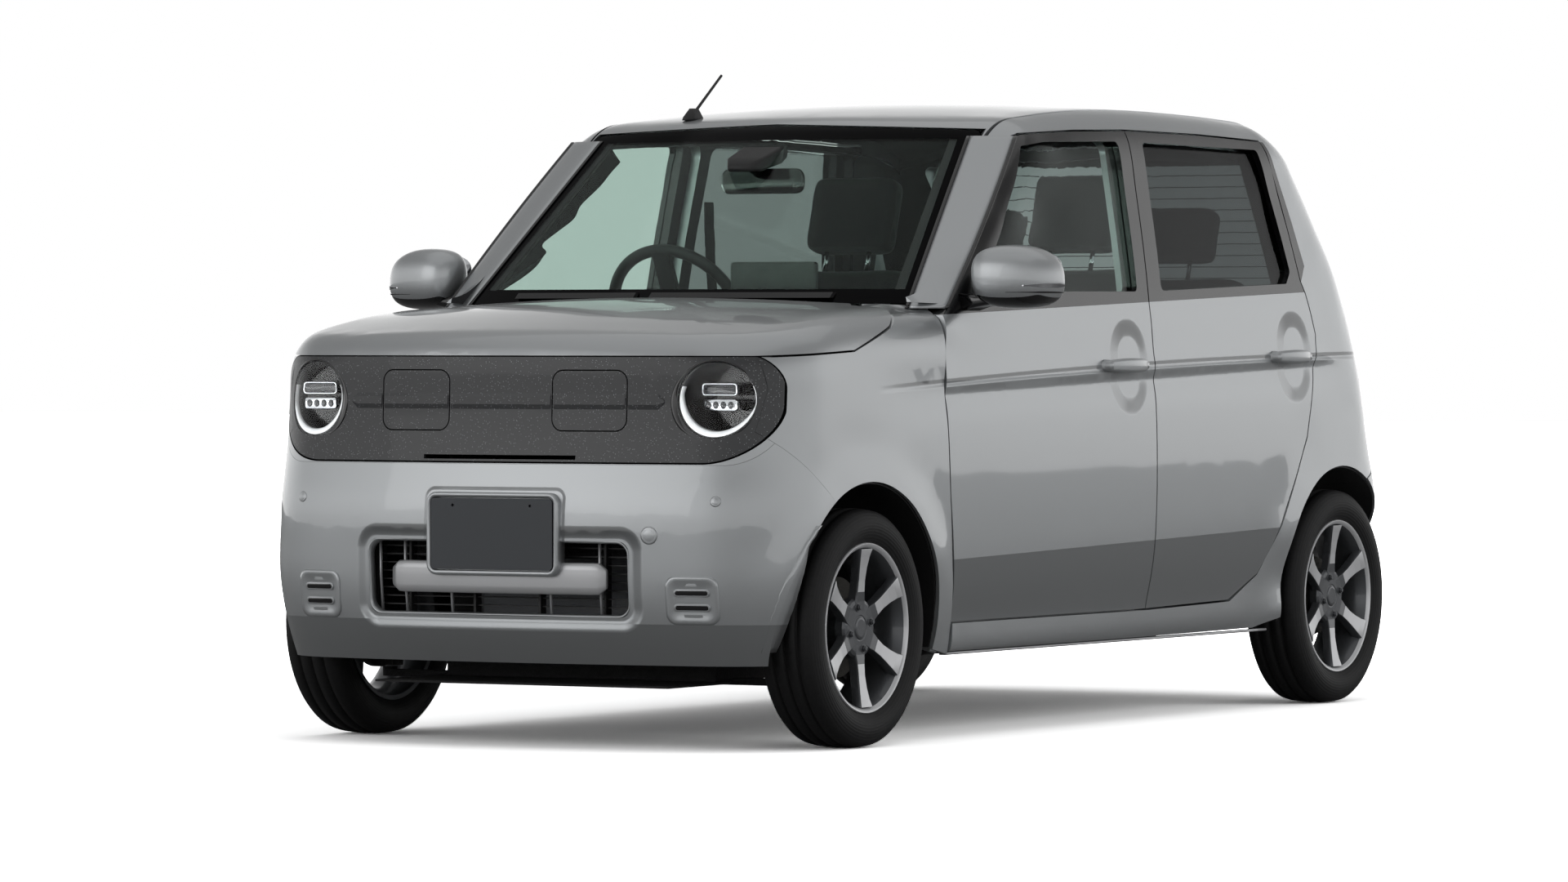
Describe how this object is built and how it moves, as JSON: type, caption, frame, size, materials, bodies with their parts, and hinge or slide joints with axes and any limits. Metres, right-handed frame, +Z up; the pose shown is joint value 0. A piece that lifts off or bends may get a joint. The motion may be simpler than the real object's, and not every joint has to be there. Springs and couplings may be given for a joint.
{
  "type": "small four-door electric city car",
  "caption": "Small upright hatchback car with round lamps in a dark face panel; wheels, steering, doors, hood, tailgate and charge lids move.",
  "frame": {"origin": "on the floor under the middle of the car", "axes": "-Y towards the nose, +X towards the car's left side, +Z up"},
  "size_m": [1.793, 3.4015, 1.6116],
  "materials": {
    "body_paint": "metallic gloss",
    "face_plastic": "dark with fine light flecks",
    "black_plastic": "grained",
    "clear_glass": "green tinted",
    "privacy_glass": "dark tinted",
    "lamp_housing": "dark",
    "lamp_cover": "clear",
    "lamp_red": "gloss",
    "satin_silver": "satin",
    "plate_grey": "satin",
    "rubber": "moulded",
    "rim_alloy": "machined and painted",
    "cast_iron": "cast",
    "underbody_coat": "matt",
    "battery_case": "cast",
    "seat_fabric": "woven",
    "dash_plastic": "grained",
    "steering_leather": "grained"
  },
  "bodies": {
    "root": {"antenna": "black_plastic", "battery_pack": "battery_case", "body_side_left": "body_paint", "body_side_right": "body_paint", "charge_ports": "black_plastic", "cowl": "black_plastic", "dashboard": "dash_plastic", "drive_unit": "battery_case", "face_panel": "face_plastic", "floor": "underbody_coat", "front_bumper": "body_paint", "front_fender_left": "body_paint", "front_fender_right": "body_paint", "front_plate": "plate_grey", "front_seats": "seat_fabric", "front_subframe": "underbody_coat", "grille_bar": "satin_silver", "headlamp_covers": "lamp_cover", "headlamps": "lamp_housing", "lower_grille": "black_plastic", "rear_axle": "underbody_coat", "rear_bumper": "body_paint", "rear_seat": "seat_fabric", "roof_panel": "body_paint", "tail_lamps": "lamp_red", "undertray": "black_plastic", "wheel_liners": "black_plastic", "windscreen": "clear_glass", "wipers": "black_plastic"},
    "charge_lid_left": {"charge_lid_left": "face_plastic"},
    "charge_lid_right": {"charge_lid_right": "face_plastic"},
    "front_door_left": {"door_mirror_left": "body_paint", "front_door_glass_left": "clear_glass", "front_door_left": "body_paint"},
    "front_door_right": {"door_mirror_right": "body_paint", "front_door_glass_right": "clear_glass", "front_door_right": "body_paint"},
    "hood": {"hood": "body_paint"},
    "knuckle_left": {"knuckle_left": "cast_iron"},
    "knuckle_right": {"knuckle_right": "cast_iron"},
    "rear_door_left": {"rear_door_glass_left": "privacy_glass", "rear_door_left": "body_paint"},
    "rear_door_right": {"rear_door_glass_right": "privacy_glass", "rear_door_right": "body_paint"},
    "tailgate": {"rear_plate": "plate_grey", "tailgate": "body_paint", "tailgate_glass": "privacy_glass"},
    "wheel_front_left": {"rim_front_left": "rim_alloy", "tyre_front_left": "rubber"},
    "wheel_front_right": {"rim_front_right": "rim_alloy", "tyre_front_right": "rubber"},
    "wheel_rear_left": {"rim_rear_left": "rim_alloy", "tyre_rear_left": "rubber"},
    "wheel_rear_right": {"rim_rear_right": "rim_alloy", "tyre_rear_right": "rubber"},
    "steering_wheel": {"steering_wheel": "steering_leather"}
  },
  "joints": [
    {"name": "steer_left", "type": "hinge", "parent": "root", "child": "knuckle_left", "pos_m": [0.596, -1.2075, 0.165], "axis": [-0.1496, 0, 0.9888], "range_deg": [-34, 34]},
    {"name": "wheel_front_left_spin", "type": "hinge", "parent": "knuckle_left", "child": "wheel_front_left", "pos_m": [0.6525, -1.2075, 0.2785], "axis": [1, 0, 0], "continuous": true},
    {"name": "wheel_rear_left_spin", "type": "hinge", "parent": "root", "child": "wheel_rear_left", "pos_m": [0.6525, 1.3125, 0.2785], "axis": [1, 0, 0], "continuous": true},
    {"name": "front_door_left_swing", "type": "hinge", "parent": "root", "child": "front_door_left", "pos_m": [0.732, -0.836, 0.6], "axis": [0, 0, -1], "range_deg": [0, 65]},
    {"name": "rear_door_left_swing", "type": "hinge", "parent": "root", "child": "rear_door_left", "pos_m": [0.738, 0.223, 0.6], "axis": [0, 0, -1], "range_deg": [0, 75]},
    {"name": "charge_lid_left_swing", "type": "hinge", "parent": "root", "child": "charge_lid_left", "pos_m": [0.331, -1.6496, 0.808], "axis": [0, 0, 1], "range_deg": [0, 100]},
    {"name": "steer_right", "type": "hinge", "parent": "root", "child": "knuckle_right", "pos_m": [-0.596, -1.2075, 0.165], "axis": [0.1496, 0, 0.9888], "range_deg": [-34, 34]},
    {"name": "wheel_front_right_spin", "type": "hinge", "parent": "knuckle_right", "child": "wheel_front_right", "pos_m": [-0.6525, -1.2075, 0.2785], "axis": [1, 0, 0], "continuous": true},
    {"name": "wheel_rear_right_spin", "type": "hinge", "parent": "root", "child": "wheel_rear_right", "pos_m": [-0.6525, 1.3125, 0.2785], "axis": [1, 0, 0], "continuous": true},
    {"name": "front_door_right_swing", "type": "hinge", "parent": "root", "child": "front_door_right", "pos_m": [-0.732, -0.836, 0.6], "axis": [0, 0, 1], "range_deg": [0, 65]},
    {"name": "rear_door_right_swing", "type": "hinge", "parent": "root", "child": "rear_door_right", "pos_m": [-0.738, 0.223, 0.6], "axis": [0, 0, 1], "range_deg": [0, 75]},
    {"name": "charge_lid_right_swing", "type": "hinge", "parent": "root", "child": "charge_lid_right", "pos_m": [-0.331, -1.6496, 0.808], "axis": [0, 0, -1], "range_deg": [0, 100]},
    {"name": "steering_wheel_turn", "type": "hinge", "parent": "root", "child": "steering_wheel", "pos_m": [-0.33, -0.293, 1.007], "axis": [0, 0.8988, 0.4384], "range_deg": [-544, 544]},
    {"name": "hood_lift", "type": "hinge", "parent": "root", "child": "hood", "pos_m": [0, -0.917, 1.049], "axis": [-1, 0, 0], "range_deg": [0, 50]},
    {"name": "tailgate_lift", "type": "hinge", "parent": "root", "child": "tailgate", "pos_m": [0, 1.283, 1.504], "axis": [1, 0, 0], "range_deg": [0, 78]}
  ],
  "couplings": [
    {"joint": "steer_right", "follows": "steer_left", "ratio": 1},
    {"joint": "steering_wheel_turn", "follows": "steer_left", "ratio": 16}
  ]
}
